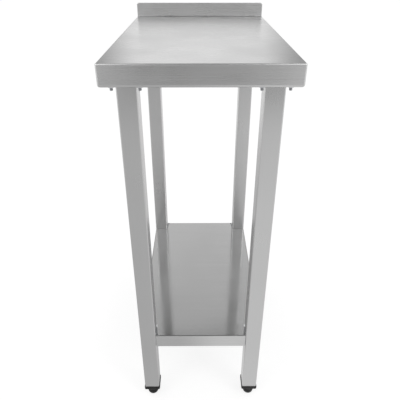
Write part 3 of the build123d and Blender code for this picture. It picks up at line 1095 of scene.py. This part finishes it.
# ------------ studio
@dataclass
class Studio:
    """Camera, floor, surroundings and lamps.

    Attributes:
        camera_place: Where the camera stands.
        camera_tilt: Its aim below the level, in degrees.
        camera_turn: Its aim to the right of straight ahead, in degrees.
        lens: Focal length in millimetres on a sensor 36 mm wide.
        floor_size: Width of the floor.
        floor_shade: Reflectance of the floor.
        floor_white: What the floor adds to its own shade where the camera sees it.
        floor_tones: Its tone where the steel mirrors it, at the left and at the right.
        floor_edges: Where that tone changes, from and to: from left to right, to white behind,
            to the front tone in front, and to white at both sides.
        front_tone: Its tone far in front of the table.
        middle_tones: What the steel mirrors in the middle of the room, by the angle in degrees
            from the level in front, over the table, to the level behind.
        side_tones: The same to the left and right of the middle.
        far_side_tone: The same far to the sides.
        room_edges: How far aside, as the X of a direction, the side tones take over, from and
            to, and then the far side tone.
        level: Strength of the light that fills the room.
        lamp_size: Width and height of a lamp.
        lamp_place: Where the right lamp stands. The left one is as far to the left.
        lamp_aim: What both lamps face.
        lamp_powers: Power in watts of the left lamp and the right one.
    """

    camera_place: Triple = (-0.0054, -1.0145, 1.0592)
    camera_tilt: float = 30.26
    camera_turn: float = 0.28
    lens: float = 38.43
    floor_size: float = 24.0
    floor_shade: float = 0.3
    floor_white: float = 0.77
    floor_tones: Pair = (0.62, 0.84)
    floor_edges: tuple[Pair, ...] = ((-0.08, 0.08), (0.6, 2.5), (-2.4, -3.3), (0.85, 1.5))
    front_tone: float = 0.24
    middle_tones: dict[float, float] = field(default_factory=lambda: {
        0: 0.3, 7: 0.38, 13: 0.9, 22: 1.4, 29: 0.2, 60: 0.08, 110: 0.08, 124: 0.5, 144: 0.7,
        157: 1.0, 170: 1.15, 180: 1.7})
    side_tones: dict[float, float] = field(default_factory=lambda: {
        0: 0.5, 22: 0.7, 36: 1.6, 56: 1.7, 100: 1.5, 125: 0.45, 150: 0.32, 168: 0.32, 180: 0.5})
    far_side_tone: float = 0.8
    room_edges: tuple[Pair, Pair] = ((0.12, 0.24), (0.45, 0.85))
    level: float = 0.8
    lamp_size: Pair = (0.9, 1.4)
    lamp_place: Triple = (1.7, -1.6, 2.3)
    lamp_aim: Triple = (0.0, 0.0, 0.6)
    lamp_powers: Pair = (10.0, 16.0)

    def build(self) -> None:
        """Set up the whole studio."""
        self.place_camera()
        self.light_room()
        self.lay_floor()
        self.set_lamps()

    def place_camera(self) -> None:
        """Make the camera and aim it."""
        data = bpy.data.cameras.new("camera")
        data.lens = self.lens
        data.sensor_width = 36.0
        data.clip_end = 60.0
        camera = bpy.data.objects.new("camera", data)
        bpy.context.scene.collection.objects.link(camera)
        camera.location = self.camera_place
        tilt, turn = math.radians(90 - self.camera_tilt), math.radians(-self.camera_turn)
        camera.rotation_euler = (tilt, 0.0, turn)
        bpy.context.scene.camera = camera
        log.info("camera: %.1f mm lens", self.lens)

    def light_room(self) -> None:
        """Fill the room with even light, show it white, and give the steel something to mirror.

        What the steel mirrors goes by the angle from the level in front, up over the table, to
        the level behind: dark at the level in front, bright a little higher, dark overhead, and
        grey to white behind. Away from the middle a second curve takes over, with its bright
        part higher up, and far to the sides it is pale.
        """
        tones = RoomShading("room")
        part = tones.parts("Generated")
        forward = tones.sums("MULTIPLY", part[1], -1.0)
        angle = tones.sums("MULTIPLY", tones.sums("ARCTAN2", part[2], forward), 1 / math.pi)
        aside = tones.sums("ABSOLUTE", part[0])
        middle, side = (tones.curve(angle, stops, 180) for stops in (self.middle_tones, self.side_tones))
        near, far = self.room_edges
        tone = tones.blend(tones.ease(aside, *near), middle, side)
        tone = tones.blend(tones.ease(aside, *far), tone, self.far_side_tone)
        plain, mirrored = tones.rays()
        level = tones.blend(mirrored, self.level, tone)
        tones.fill(tones.shader, {"Color": (*WHITE, 1), "Strength": tones.blend(plain, level, 1.0)})
        bpy.context.scene.view_settings.view_transform = "Standard"

    def lay_floor(self) -> None:
        """Lay the pale floor. It is clear from below, so that the underside can be looked at.

        Seen directly it is its own shade, with the table's shadow, plus a glow that makes it
        white. In the steel it is a grey, darker at the left than at the right, that turns dark
        far in front, where the aprons face, and white at the far sides and behind.
        """
        half = self.floor_size / 2
        step = np.array([-half, half])
        level = np.stack(np.broadcast_arrays(step[:, None], step[None, :], 0.0), axis=-1)
        tones = Shading("pale_floor")
        plain, mirrored = tones.rays()
        tones.fill(tones.shader, {
            "Base Color": (*[self.floor_shade] * 3, 1),
            "Roughness": 0.9,
            "Specular IOR Level": 0.0,
            "Emission Color": (*WHITE, 1),
            "Emission Strength": tones.sums("MULTIPLY", plain, self.floor_white),
        })
        place = tones.parts("Object")
        aside = tones.sums("ABSOLUTE", place[0])
        middle, rear, front, sides = self.floor_edges
        tone = tones.ease(place[0], *middle, *self.floor_tones)
        tone = tones.blend(tones.ease(place[1], *rear), tone, 1.0)
        tone = tones.blend(tones.ease(place[1], *front), tone, self.front_tone)
        tone = tones.blend(tones.ease(aside, *sides), tone, 1.0)
        glow = tones.node("Emission", {"Strength": tone}).outputs[0]
        seen = tones.node("MixShader", {0: mirrored, 1: tones.shader.outputs[0], 2: glow}).outputs[0]
        under = tones.node("NewGeometry").outputs["Backfacing"]
        clear = tones.node("BsdfTransparent").outputs[0]
        mix = tones.node("MixShader", {0: under, 1: seen, 2: clear}).outputs[0]
        tones.fill(tones.tree.nodes["Material Output"], {0: mix})
        thing = Surface.grid(level).as_object("floor", tones.material)

    def set_lamps(self) -> None:
        """Set two soft lamps high in front, the right one stronger."""
        for name, side, power in zip(("left_lamp", "right_lamp"), (-1, 1), self.lamp_powers):
            data = bpy.data.lights.new(name, "AREA")
            data.shape = "RECTANGLE"
            data.size, data.size_y = self.lamp_size
            data.energy = power
            lamp = bpy.data.objects.new(name, data)
            bpy.context.scene.collection.objects.link(lamp)
            out, near, high = self.lamp_place
            lamp.location = (side * out, near, high)
            aim = Vector(self.lamp_aim) - lamp.location
            lamp.rotation_euler = aim.to_track_quat("-Z", "Y").to_euler()


def main() -> None:
    """Build the studio and the table's looks."""
    Studio().build()
    finishes = Finishes()
    dress(finishes.worktop, "worktop", "rear_apron")
    dress(finishes.shelf, "shelf")
    dress(finishes.board, "underlay_board")
    dress(finishes.galvanised, "front_top_channel", "rear_top_channel", "centre_top_channel",
          "shelf_stiffener")
    dress(finishes.zinc, "plate_washers", "shelf_weld_nuts", "foot_nuts")
    for corner in Corner:
        dress(finishes.leg, f"leg_{corner.value}", f"leg_plate_{corner.value}")
        dress(finishes.galvanised, f"shelf_bracket_{corner.value}")
        dress(finishes.plastic, f"foot_insert_{corner.value}")
        LevellingFoot(corner).build(finishes.plastic, finishes.zinc)
    PlateFasteners().build(finishes.zinc)
    ChannelScrews().build(finishes.zinc)
    ShelfBolts().build(finishes.zinc)
    Welds().build(finishes.weld)


if __name__ == "__main__":
    main()
